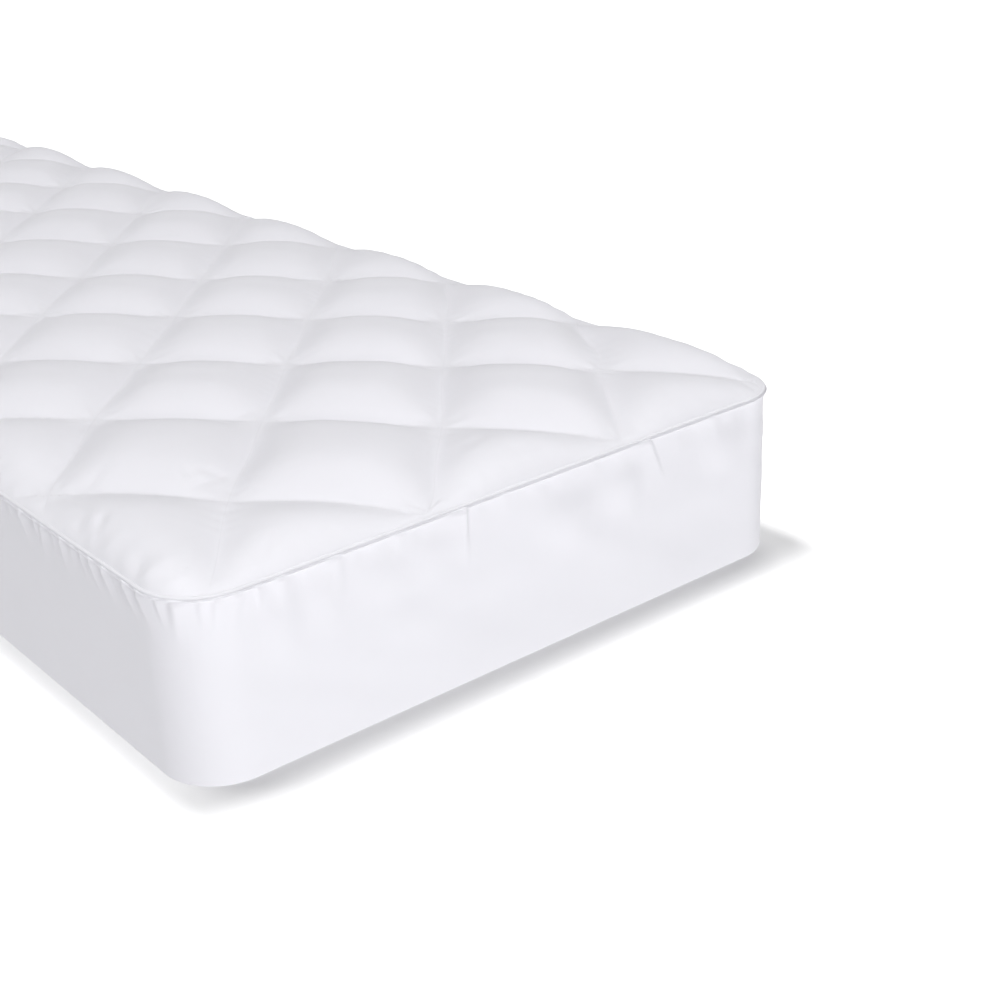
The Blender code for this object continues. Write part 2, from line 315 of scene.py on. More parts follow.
class ShaderGroups:
    """The node groups that more than one cloth uses."""

    def __init__(self) -> None:
        """Builds each group once."""
        self.threads = {weave: self._threads(weave) for weave in Weave}
        self.rumple = self._rumple()
        self.tone = self._tone()

    @staticmethod
    def _start(name: str, inputs: dict[str, float], outputs: list[str]) -> tuple:
        """Makes an empty group.

        Args:
            name: The group's name.
            inputs: Its number inputs with their default values, after the Vector input.
            outputs: Its number outputs.

        Returns:
            The group's wiring, its input node and its output node.
        """
        group = bpy.data.node_groups.new(name, "ShaderNodeTree")
        group.interface.new_socket(name="Vector", in_out="INPUT", socket_type="NodeSocketVector")
        for label, value in inputs.items():
            socket = group.interface.new_socket(name=label, in_out="INPUT", socket_type="NodeSocketFloat")
            socket.default_value = value
        for label in outputs:
            group.interface.new_socket(name=label, in_out="OUTPUT", socket_type="NodeSocketFloat")
        wiring = Wiring(group)
        return wiring, wiring.add("NodeGroupInput"), wiring.add("NodeGroupOutput")

    def _threads(self, weave: Weave) -> NodeTree:
        """Threads over and under each other, on the cloth's own coordinates.

        Args:
            weave: How the threads lie.

        Returns:
            A group with a Height of the threads and a Shade, painted shade that is darker between them.
        """
        name = f"threads_{weave.value}"
        wiring, entry, leave = self._start(name, {"Threads": 1800.0}, ["Height", "Shade"])
        parts = wiring.add("ShaderNodeSeparateXYZ", {0: entry.outputs["Vector"]})
        across = wiring.sum("MULTIPLY", parts.outputs["X"], entry.outputs["Threads"])
        along = wiring.sum("MULTIPLY", parts.outputs["Y"], entry.outputs["Threads"])
        if weave is Weave.KNIT:
            along = wiring.sum("MULTIPLY", along, 0.7)
            across = wiring.sum("ADD", across, wiring.sum("PINGPONG", along, 0.5))
        if weave is Weave.TWILL:
            along = wiring.sum("ADD", along, across)
        waves = [wiring.sum("SINE", wiring.sum("MULTIPLY", way, math.pi)) for way in (across, along)]
        warp, weft = (wiring.sum("ABSOLUTE", wave) for wave in waves)
        height = wiring.sum("MULTIPLY", warp, weft)
        shade = wiring.sum("ADD", wiring.sum("MULTIPLY", height, 0.12), 0.92)
        wiring.feed(leave, {"Height": height, "Shade": shade})
        return wiring.tree

    def _rumple(self) -> NodeTree:
        """Faint rumples of a soft cloth, too fine for its mesh.

        Returns:
            A group with a Height.
        """
        wiring, entry, leave = self._start("rumple", {"Size": 0.03, "Stretch": 1.0}, ["Height"])
        shape = wiring.add("ShaderNodeCombineXYZ", {"X": 1.0, "Y": entry.outputs["Stretch"], "Z": 1.0})
        values = {0: entry.outputs["Vector"], 1: shape.outputs[0]}
        stretched = wiring.add("ShaderNodeVectorMath", values, operation="MULTIPLY")
        scale = wiring.sum("DIVIDE", 1.0, entry.outputs["Size"])
        values = {"Vector": stretched.outputs[0], "Scale": scale}
        values |= {"Detail": 3.0, "Roughness": 0.45, "Distortion": 0.4}
        noise = wiring.add("ShaderNodeTexNoise", values)
        wiring.feed(leave, {"Height": noise.outputs["Fac"]})
        return wiring.tree

    def _tone(self) -> NodeTree:
        """Slow drifts of a white cloth's tone, as from its filling and its making.

        Returns:
            A group with a Tone near 1.
        """
        wiring, entry, leave = self._start("tone", {"Size": 0.12, "Spread": 0.03}, ["Tone"])
        scale = wiring.sum("DIVIDE", 1.0, entry.outputs["Size"])
        values = {"Vector": entry.outputs["Vector"], "Scale": scale, "Detail": 2.0}
        noise = wiring.add("ShaderNodeTexNoise", values)
        centred = wiring.sum("SUBTRACT", noise.outputs["Fac"], 0.5)
        drift = wiring.sum("MULTIPLY", centred, entry.outputs["Spread"])
        wiring.feed(leave, {"Tone": wiring.sum("ADD", drift, 1.0)})
        return wiring.tree


@dataclass(frozen=True)
class ClothFinish:
    """One cloth's colour, with painted shade between its threads, sheen, weave and rumples."""

    name: str
    colour: Triple
    roughness: float
    sheen: float
    weave: Weave
    threads: float
    thread_depth: float
    rumple_size: float
    rumple_depth: float
    rumple_stretch: float = 1.0
    sheen_roughness: float = 0.4
    specular: float = 0.25

    def build(self, groups: ShaderGroups) -> Material:
        """Makes the material.

        Args:
            groups: The shared node groups.

        Returns:
            The finished material.
        """
        material = bpy.data.materials.new(self.name)
        material.use_nodes = True
        wiring = Wiring(material.node_tree)
        place = wiring.add("ShaderNodeUVMap", uv_map=CLOTH_MAP).outputs[0]
        values = {"Vector": place, "Threads": self.threads}
        threads = wiring.add("ShaderNodeGroup", values, node_tree=groups.threads[self.weave])
        values = {"Vector": place, "Size": self.rumple_size, "Stretch": self.rumple_stretch}
        rumple = wiring.add("ShaderNodeGroup", values, node_tree=groups.rumple)
        tone = wiring.add("ShaderNodeGroup", {"Vector": place}, node_tree=groups.tone)
        # The base colour carries painted shade between the threads, times the cloth's random tone
        shade = wiring.sum("MULTIPLY", threads.outputs["Shade"], tone.outputs["Tone"])
        colour = wiring.add("ShaderNodeVectorMath", {0: self.colour, "Scale": shade}, operation="SCALE")
        values = {"Distance": self.rumple_depth, "Height": rumple.outputs["Height"]}
        soft = wiring.add("ShaderNodeBump", values)
        values = {"Distance": self.thread_depth, "Height": threads.outputs["Height"]}
        fine = wiring.add("ShaderNodeBump", values | {"Normal": soft.outputs[0]})
        values = {
            "Base Color": colour.outputs[0],
            "Roughness": self.roughness,
            "Sheen Weight": self.sheen,
            "Sheen Roughness": self.sheen_roughness,
            "Specular IOR Level": self.specular,
            "Normal": fine.outputs[0],
        }
        wiring.feed(material.node_tree.nodes["Principled BSDF"], values)
        return material


@dataclass(frozen=True)
class Quilting:
    """The lattice of sewn lines, the puffs between them and their small creases."""

    outline: Outline
    inset: float
    diamond: tuple[float, float] = (0.2316, 0.2687)
    start: tuple[float, float] = (-0.0828, 0.1429)
    first_line: int = 1
    crossing_rise: float = 0.0145
    crossing_roll: float = 0.118
    stitch_rise: float = 0.001
    puff: float = 0.0207
    puff_roll: float = 0.049
    puff_shape: float = 2.75
    puff_pinch: float = 1.25
    puff_ridges: float = 0.1
    seam_ease: float = 0.005
    lump_depth: float = 0.0006
    lump_size: float = 0.045
    pucker_depth: float = 0.00055
    pucker_reach: float = 0.011
    pucker_pitch: float = 0.0031
    gather_depth: float = 0.0021
    gather_reach: float = 0.013
    gather_pitch: float = 0.0044
    star_depth: float = 0.0014
    star_reach: float = 0.02
    star_rays: tuple[float, float] = (7.0, 11.0)
    ripple_wander: float = 0.031
    dent_bend: float = 0.15
    least_share: float = 0.97
    share_spread: float = 0.06
    crease_fade: float = 0.007
    stray_reach: float = 0.085
    stray_hold: float = 0.014
    stray_rounds: int = 6
    strays: tuple[tuple[int, int, int, int], ...] = (
        # A crossing's two line numbers, and its shift across and along in millimetres
        (0, 1, 9, 2), (1, 0, -10, 5), (1, 1, -14, -6), (1, 2, -1, -14), (2, -1, -1, -2), (2, 0, -6, 10),
        (2, 1, 3, 13), (2, 2, 7, -1), (2, 3, 9, -4), (3, -1, 2, 3), (3, 0, 0, 6), (3, 1, 3, 13),
        (3, 2, 8, 12), (3, 3, 5, 8), (3, 4, 0, 5), (4, 0, 4, 1), (4, 1, 0, 4), (4, 2, -5, 4),
        (4, 3, -5, 34), (5, -1, 4, -7), (5, 0, -3, -9), (5, 1, -4, -5), (5, 2, -8, 19), (6, -2, 5, -2),
        (6, -1, 4, -8), (6, 0, -1, -8), (6, 1, -5, 8), (7, -2, 8, 0), (7, -1, 6, -5), (7, 0, -4, 2),
        (8, -2, 5, 0), (9, -2, 0, 6), (10, -3, 2, -4),
    )
    fullness: tuple[tuple[int, int, float], ...] = (
        # The two line numbers of a diamond's nearest crossing, and its share of the common height
        (0, 0, 0.87), (0, 1, 0.79), (1, -1, 0.91), (1, 0, 1.10), (1, 1, 1.23), (1, 2, 0.99), (2, 0, 1.09),
        (2, 1, 1.24), (2, 2, 1.25), (2, 3, 0.87), (3, 1, 1.10), (3, 2, 1.06), (4, -2, 0.94), (4, 1, 0.93),
        (4, 2, 0.96), (5, -2, 0.94), (5, -1, 0.94), (5, 0, 0.93), (5, 1, 0.87), (6, -1, 0.96), (6, 0, 0.86),
        (7, -3, 1.05), (7, -2, 1.03), (7, -1, 0.92), (8, -3, 1.14), (8, -2, 0.94),
    )
    dents: tuple[Dent, ...] = tuple(
        Dent(x / 1000, y / 1000, turn, half_length / 1000, half_width / 1000, depth / 1000)
        for x, y, turn, half_length, half_width, depth in (
            # Places and sizes in millimetres, with the turn in radians in the third column
            (13, 190, 1.2, 22, 7, 3), (22, 165, 0.9, 20, 6, 2.6), (32, 215, 1.4, 18, 6, 2.2),
            (62, 262, 0.3, 16, 6, 2.2), (142, 178, 0.2, 20, 6, 3), (150, 190, 2.6, 16, 5, 2.4),
            (128, 196, 1.1, 14, 5, 2), (218, 303, 2.4, 16, 6, 2.2), (263, 316, 0.2, 14, 5, 2),
            (474, 302, 2.5, 20, 6, 2.6), (462, 312, 2.7, 14, 5, 1.8), (377, 67, 0.4, 24, 8, 1.8),
            (400, 24, 0.2, 20, 7, 1.6), (101, 20, 0.5, 20, 7, 1.8), (12, 80, 1.1, 20, 7, 2),
        )
    )

    @property
    def side(self) -> float:
        """The length of a diamond's side."""
        return math.hypot(*self.diamond) / 2

    @property
    def spacing(self) -> float:
        """The distance between neighbouring lines of stitches."""
        return math.prod(self.diamond) / 2 / self.side

    def lattice(self, even: Array) -> Array:
        """Turns places on the even lattice into line numbers, whole on the sewn lines."""
        across, along = (even + self.outline.half - column(self.start)) / column(self.diamond)
        return np.array((across + along, across - along))

    def even_place(self, first: Array, second: Array) -> Array:
        """Turns line numbers into places on the even lattice."""
        ways = np.array((first + second, first - second)) / 2
        return ways * column(self.diamond) + column(self.start) - self.outline.half

    def sewn_place(self, even: Array) -> Array:
        """Moves places on the even lattice to where the sewn lines really run.

        Args:
            even: Places across and along.

        Returns:
            The real places, which keep to the panel's edge where they started there.
        """
        spot = even.copy()
        half = self.outline.half - self.inset
        for _ in range(self.stray_rounds):
            shift = self._shift(spot)
            fade = np.exp((np.abs(spot) - half) / self.stray_hold)
            slope = 1.0 + shift * np.sign(spot) * fade / self.stray_hold
            spot -= (spot - shift * (1.0 - fade) - even) / np.maximum(slope, 0.25)
        return spot

    def _shift(self, spot: Array) -> Array:
        """How far the sewn lines stray from the even lattice.

        Args:
            spot: Places across and along.

        Returns:
            The shifts across and along.
        """
        shift = np.zeros_like(spot)
        for first, second, *away in self.strays:
            knot = self.even_place(np.array([first]), np.array([second]))
            nearness = np.exp(-((spot - knot) ** 2).sum(axis=0) / self.stray_reach**2)
            shift += column(away) / 1000 * nearness
        return shift

    def height(self, even: Array, spot: Array) -> Array:
        """How far the panel's upper face rises above the seam.

        Args:
            even: Places across and along on the even lattice.
            spot: The same places on the panel.

        Returns:
            Heights in metres.
        """
        first, second = self.lattice(even)
        first = np.maximum(first, self.first_line - 0.5)
        inside = np.maximum(self.outline.depth(spot, self.inset), 0.0)
        eased = np.hypot(inside, self.seam_ease) - self.seam_ease
        rise_first, rise_second = self._rise(first), self._rise(second)
        low, high = np.minimum(rise_first, rise_second), np.maximum(rise_first, rise_second)
        dome = (1.0 - self.puff_ridges) * rise_first * rise_second + self.puff_ridges * low
        dome = dome * self.puff * self._share(np.floor(first), np.floor(second))
        held = self.stitch_rise * high**2
        lumps = self.lump_depth * smooth_noise(*spot, self.lump_size, 3.0) * dome / self.puff
        small = self._puckers(first, second, 5.0) + self._puckers(second, first, 9.0)
        small += self._stars(even, first, second) + self._gathers(spot, inside)
        for dent in self.dents:
            small -= self._dent(spot, dent)
        small *= np.clip(inside / self.crease_fade, 0.0, 1.0)
        base = self.crossing_rise * self._roll(eased, self.crossing_roll)
        return base + (dome + held + lumps) * self._roll(eased, self.puff_roll) + small

    def _rise(self, line: Array) -> Array:
        """The share of its height that the cloth has beside a sewn line, from 0 on it to 1 midway."""
        away = np.minimum(off_line(line), 0.5)
        return (1.0 - (1.0 - 2.0 * away) ** self.puff_shape) ** self.puff_pinch

    @staticmethod
    def _roll(inside: Array, reach: float) -> Array:
        """The share of its height that the panel has near the seam, on a quarter ellipse."""
        return np.sqrt(1.0 - (1.0 - np.clip(inside / reach, 0.0, 1.0)) ** 2)

    def _share(self, cell_first: Array, cell_second: Array) -> Array:
        """How full each diamond is beside the others.

        Args:
            cell_first: The first line number of each place's diamond.
            cell_second: The second one.

        Returns:
            Shares of the common height.
        """
        share = self.least_share + self.share_spread * cell_chance(cell_first, cell_second, 1.0)
        for first, second, full in self.fullness:
            share = np.where((cell_first == first) & (cell_second == second), full, share)
        return share

    def _puckers(self, line: Array, along: Array, seed: float) -> Array:
        """Short ripples that run out from the stitches, square to them.

        Args:
            line: The line numbers across the stitches.
            along: The line numbers along them.
            seed: A number that shifts the ripples.

        Returns:
            Heights in metres.
        """
        away = off_line(line) * self.spacing
        run = along * self.side
        wander = 2.2 * np.sin(run / self.ripple_wander + seed + 1.7 * np.round(line))
        strength = 0.5 + 0.5 * np.sin(run / 0.053 + 2.3 * np.round(line) + seed)
        ripple = np.exp(-away / self.pucker_reach) * np.sin(run / self.pucker_pitch + wander)
        return self.pucker_depth * strength * ripple

    def _gathers(self, spot: Array, inside: Array) -> Array:
        """Ripples square to the seam round the panel, deeper along the two long sides.

        Args:
            spot: Places across and along.
            inside: Their distances from the seam.

        Returns:
            Heights in metres.
        """
        away = self.outline.half - np.abs(spot)
        beside_long = away[0] < away[1]
        along = np.where(beside_long, spot[1], spot[0])
        wander = 2.0 * np.sin(along / self.ripple_wander + 0.8)
        strength = np.where(beside_long, 1.0, 0.4) * (0.6 + 0.4 * np.sin(along / 0.047 + 2.0))
        ripple = np.exp(-inside / self.gather_reach) * np.sin(along / self.gather_pitch + wander)
        return self.gather_depth * strength * ripple

    def _stars(self, even: Array, first: Array, second: Array) -> Array:
        """Creases that run out from each crossing, where four diamonds pull on one stitch.

        Args:
            even: Places across and along on the even lattice.
            first: Their first line numbers.
            second: Their second line numbers.

        Returns:
            Heights in metres.
        """
        knot_first = np.maximum(np.round(first), self.first_line)
        away = even - self.even_place(knot_first, np.round(second))
        reach = np.hypot(*away) / self.star_reach
        turn = np.arctan2(away[1], away[0])
        chance = cell_chance(np.round(first), np.round(second), 4.0)
        few, many = self.star_rays
        ray = np.sin(few * turn + 6.28 * chance) + 0.6 * np.sin(many * turn + 17.0 * chance)
        return self.star_depth * (0.4 + chance) * ray * reach * np.exp(-(reach**2))

    def _dent(self, spot: Array, dent: Dent) -> Array:
        """The depth of one crease.

        Args:
            spot: Places across and along.
            dent: The crease.

        Returns:
            Depths in metres.
        """
        away_x, away_y = spot + self.outline.half - column((dent.x, dent.y))
        along = away_x * math.cos(dent.turn) + away_y * math.sin(dent.turn)
        across = away_y * math.cos(dent.turn) - away_x * math.sin(dent.turn)
        bend = across - self.dent_bend * along * along / dent.half_length
        return dent.depth * np.exp(-((along / dent.half_length) ** 2) - (bend / dent.half_width) ** 2)


@dataclass
class QuiltedPanel:
    """The filled top panel, one closed form with its cloth and its lines of stitches."""

    outline: Outline
    quilting: Quilting
    finish: ClothFinish
    bottom: float
    seam_height: float
    inset: float = 0.0012
    rim_lift: float = 0.00217
    rim_fade: float = 0.012
    seam_reach: float = 0.0022
    rim_turn: float = 80.0
    ring_turns: Triple = (40.0, 0.0, 0.0)
    map_shift: float = 3.0
    cells: int = 58
    edge_steps: tuple[float, ...] = (0.0, 0.0007, 0.0017, 0.003, 0.0048, 0.0072, 0.0104, 0.0142)
    stitch_step: float = 0.006
    stitch_end: float = 0.004
    stitch_lift: float = 0.00005
    line_numbers: range = range(-12, 14)

    def build(self, groups: ShaderGroups) -> Object:
        """Makes the padded panel.

        Args:
            groups: The shared node groups.

        Returns:
            The panel.
        """
        extents = (self.outline.width, self.outline.length)
        xs, ys = map(self._lines, extents, self.quilting.start, self.quilting.diamond)
        even = np.array(np.meshgrid(xs, ys, indexing="ij")).reshape(2, -1)
        top = self.surface(even)
        rim = self._rim(len(xs), len(ys))
        rings = [self._ring(top[rim], turn) for turn in self.ring_turns]
        rings[-1][:, 2] = self.bottom
        levels = [rim]
        for level in range(len(rings)):
            start = len(top) + level * len(rim)
            levels.append(list(range(start, start + len(rim))))
        faces = self._triangles(even, len(xs), len(ys))
        for upper, lower in zip(levels, levels[1:]):
            faces += [[upper[k - 1], upper[k], lower[k], lower[k - 1]] for k in range(len(rim))]
        faces.append(levels[-1][::-1])
        points = np.vstack((top, *rings))
        panel = mesh_object("quilted_panel_cloth", points, faces, points[:, :2] + self.map_shift)
        self._sharpen_rim(panel, set(rim), len(top))
        panel.data.materials.append(self.finish.build(groups))
        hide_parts("quilted_panel")
        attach(panel, BODY)
        return panel

    def surface(self, even: Array) -> Array:
        """The panel's upper face at places on the even lattice.

        Args:
            even: Places across and along.

        Returns:
            One row of three coordinates for each place.
        """
        spot = self.outline.squeeze(self.quilting.sewn_place(even))
        inside = np.maximum(self.outline.depth(spot, self.inset), 0.0)
        lift = self.rim_lift * np.exp(-inside / self.rim_fade)
        return np.vstack((spot, self.seam_height + lift + self.quilting.height(even, spot))).T

    def _ring(self, edge: Array, turn: float) -> Array:
        """The panel's edge where it lies against the piping.

        Args:
            edge: The points of the upper face's rim, in order.
            turn: The angle round the piping's middle, up from its inner side, in degrees.

        Returns:
            One row of three coordinates for each point of the rim.
        """
        tangent = np.roll(edge, -1, axis=0) - np.roll(edge, 1, axis=0)
        inward = np.column_stack((-tangent[:, 1], tangent[:, 0]))
        inward /= np.hypot(tangent[:, 0], tangent[:, 1])[:, None]
        ring = edge.copy()
        reach = math.cos(math.radians(turn)) - math.cos(math.radians(self.rim_turn))
        ring[:, :2] += inward * self.seam_reach * reach
        ring[:, 2] = self.seam_height + self.seam_reach * math.sin(math.radians(turn))
        return ring

    def _lines(self, extent: float, start: float, pitch: float) -> Array:
        """Mesh lines across the panel, on the lattice and closer together beside the seam.

        Args:
            extent: The topper's size in this direction.
            start: The first crossing's distance from the edge.
            pitch: A diamond's size in this direction.

        Returns:
            The lines' places.
        """
        near = self.inset - extent / 2 + np.array(self.edge_steps)
        cell = pitch / self.cells
        first = math.ceil((near[-1] + extent / 2 - start) / cell + 0.5)
        last = math.floor((-near[-1] + extent / 2 - start) / cell - 0.5)
        middle = start - extent / 2 + cell * np.arange(first, last + 1)
        return np.concatenate((near, middle, -near[::-1]))

    def _triangles(self, even: Array, columns: int, rows: int) -> list:
        """Cuts each cell along the nearer direction of stitches, so that each sewn line is an edge.

        Args:
            even: The points' places across and along on the even lattice.
            columns: The number of mesh lines across.
            rows: The number of mesh lines along.

        Returns:
            The point numbers of each triangle.
        """
        index = np.arange(columns * rows).reshape(columns, rows)
        a, b = index[:-1, :-1].ravel(), index[1:, :-1].ravel()
        c, d = index[1:, 1:].ravel(), index[:-1, 1:].ravel()
        first, second = self.quilting.lattice((even[:, a] + even[:, c]) / 2)
        rising = off_line(second) < off_line(first)
        one = np.where(rising, (a, b, c), (a, b, d))
        two = np.where(rising, (a, c, d), (b, c, d))
        return one.T.tolist() + two.T.tolist()

    @staticmethod
    def _rim(columns: int, rows: int) -> list[int]:
        """The grid's outer points in order, anticlockwise from above."""
        index = np.arange(columns * rows).reshape(columns, rows)
        return [*index[:-1, 0], *index[-1, :-1], *index[:0:-1, -1], *index[0, :0:-1]]

    @staticmethod
    def _sharpen_rim(panel: Object, rim: set[int], count: int) -> None:
        """Keeps the shading of the upper face, the sides and the underside apart.

        Args:
            panel: The panel.
            rim: The upper face's outer points.
            count: The number of the upper face's points.
        """
        shape = bmesh.new()
        shape.from_mesh(panel.data)
        for edge in shape.edges:
            first, second = (vertex.index for vertex in edge.verts)
            on_top = first in rim and second in rim and len(edge.link_faces) == 2
            faces = [len(face.verts) for face in edge.link_faces]
            if (on_top and 4 in faces) or (first >= count and second >= count):
                edge.smooth = False
        shape.to_mesh(panel.data)
        shape.free()

    def stitch_lines(self) -> tuple[list, list]:
        """Follows the sewn lines of the diamonds over the panel.

        Returns:
            Their points and the pairs of points that each line joins.
        """
        points: list = []
        pairs: list = []
        run = np.arange(-12.0, 12.0, self.stitch_step / self.quilting.side)
        whole_lines = [np.full_like(run, float(line)) for line in self.line_numbers]
        ways = [(line, run) for line in whole_lines if line[0] >= self.quilting.first_line]
        ways += [(run, line) for line in whole_lines]
        for way in ways:
            even = self.quilting.even_place(*way)
            row = self.surface(even[:, self.outline.depth(even, self.inset) > 0.0])
            row = row[self.outline.depth(row[:, :2].T, self.inset) > self.stitch_end]
            if len(row) < 3:
                continue
            row[:, 2] += self.stitch_lift
            start = len(points)
            points += row.tolist()
            pairs += [(start + k, start + k + 1) for k in range(len(row) - 1)]
        return points, pairs


@dataclass
class StitchRow:
    """Stitches laid along sewn lines by Geometry Nodes."""

    pitch: float = 0.0042
    stitch: float = 0.0031
    thread_width: float = 0.0005

    @property
    def sizes(self) -> dict[str, float]:
        """The tree's number inputs with their values."""
        return {"Pitch": self.pitch, "Stitch": self.stitch, "Thread Width": self.thread_width}

    def tree(self, thread: Material) -> NodeTree:
        """Builds the tree that turns lines into stitches.

        Args:
            thread: The stitches' material.

        Returns:
            The tree, with its sizes as inputs.
        """
        tree = bpy.data.node_groups.new("stitch_row", "GeometryNodeTree")
        tree.interface.new_socket(name="Geometry", in_out="INPUT", socket_type="NodeSocketGeometry")
        for label in self.sizes:
            tree.interface.new_socket(name=label, in_out="INPUT", socket_type="NodeSocketFloat")
        tree.interface.new_socket(name="Geometry", in_out="OUTPUT", socket_type="NodeSocketGeometry")
        wiring = Wiring(tree)
        entry = wiring.add("NodeGroupInput")
        curve = wiring.add("GeometryNodeMeshToCurve", {"Mesh": entry.outputs["Geometry"]})
        values = {"Curve": curve.outputs["Curve"], "Length": entry.outputs["Pitch"]}
        even = wiring.add("GeometryNodeResampleCurve", values, mode="LENGTH")
        bead = wiring.add("GeometryNodeMeshUVSphere", {"Segments": 6, "Rings": 4, "Radius": 0.5})
        width = entry.outputs["Thread Width"]
        size = wiring.add("ShaderNodeCombineXYZ", {"X": width, "Y": width, "Z": entry.outputs["Stitch"]})
        values = {"Geometry": bead.outputs["Mesh"], "Scale": size.outputs[0]}
        shaped = wiring.add("GeometryNodeTransform", values)
        tangent = wiring.add("GeometryNodeInputTangent")
        turned = wiring.add("FunctionNodeAlignEulerToVector", {"Vector": tangent.outputs[0]}, axis="Z")
        values = {"Points": even.outputs["Curve"], "Instance": shaped.outputs["Geometry"]}
        values["Rotation"] = turned.outputs["Rotation"]
        placed = wiring.add("GeometryNodeInstanceOnPoints", values)
        smooth = wiring.add("GeometryNodeSetShadeSmooth", {"Geometry": placed.outputs["Instances"]})
        real = wiring.add("GeometryNodeRealizeInstances", {"Geometry": smooth.outputs["Geometry"]})
        values = {"Geometry": real.outputs["Geometry"], "Material": thread}
        dressed = wiring.add("GeometryNodeSetMaterial", values)
        wiring.add("NodeGroupOutput", {"Geometry": dressed.outputs["Geometry"]})
        return tree

    def build(self, name: str, points: list, pairs: list, thread: Material) -> Object:
        """Lays the stitches and turns them into one plain mesh.

        Args:
            name: The new piece's name.
            points: The lines' points.
            pairs: The pairs of points that the lines join.
            thread: The stitches' material.

        Returns:
            The stitches.
        """
        data = bpy.data.meshes.new(f"{name}_lines")
        data.from_pydata(points, pairs, [])
        lines = new_object(f"{name}_lines", data)
        tree = self.tree(thread)
        modifier = lines.modifiers.new("stitches", "NODES")
        modifier.node_group = tree
        for socket in tree.interface.items_tree:
            if socket.in_out == "INPUT" and socket.name in self.sizes:
                modifier[socket.identifier] = self.sizes[socket.name]
        view = bpy.context.evaluated_depsgraph_get()
        mesh = bpy.data.meshes.new_from_object(lines.evaluated_get(view))
        mesh.name = name
        bpy.data.objects.remove(lines)
        stitches = new_object(name, mesh)
        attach(stitches, BODY)
        return stitches


@dataclass
class EdgePiping:
    """The covered cord in the seam round the panel."""

    outline: Outline
    finish: ClothFinish
    height: float
    radius: float = 0.0023
    inset: float = 0.0008
    step: float = 0.005
    sides: int = 12
    waver: float = 0.00006

    def build(self, groups: ShaderGroups) -> Object:
        """Makes the piping.

        Args:
            groups: The shared node groups.

        Returns:
            The piping.
        """
        count = round(self.outline.perimeter / self.step)
        run = np.arange(count) * self.outline.perimeter / count
        spot, out = self.outline.place(run, self.inset)
        loop = run / self.outline.perimeter * 2 * math.pi
        swell = self.waver * (np.sin(97 * loop + 0.7) + 0.6 * np.sin(233 * loop + 2.1)) / 1.6
        radius = self.radius - self.waver + swell
        turns = [2 * math.pi * side / self.sides for side in range(self.sides + 1)]
        points, faces, uvs = [], [], []
        for side, (turn, after_turn) in enumerate(zip(turns, turns[1:])):
            reach, rise = radius * math.cos(turn), radius * math.sin(turn)
            points.append(np.vstack((spot + out * reach, self.height + rise)).T)
            low, high = side * count, (side + 1) % self.sides * count
            bottom, top = turn * self.radius, after_turn * self.radius
            for k in range(count):
                after = (k + 1) % count
                faces.append([low + k, low + after, high + after, high + k])
                here, there = k * self.step, (k + 1) * self.step
                uvs += [(here, bottom), (there, bottom), (there, top), (here, top)]
        piping = mesh_object("edge_piping_cord", np.vstack(points), faces, np.array(uvs))
        piping.data.materials.append(self.finish.build(groups))
        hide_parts("edge_piping")
        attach(piping, BODY)
        return piping


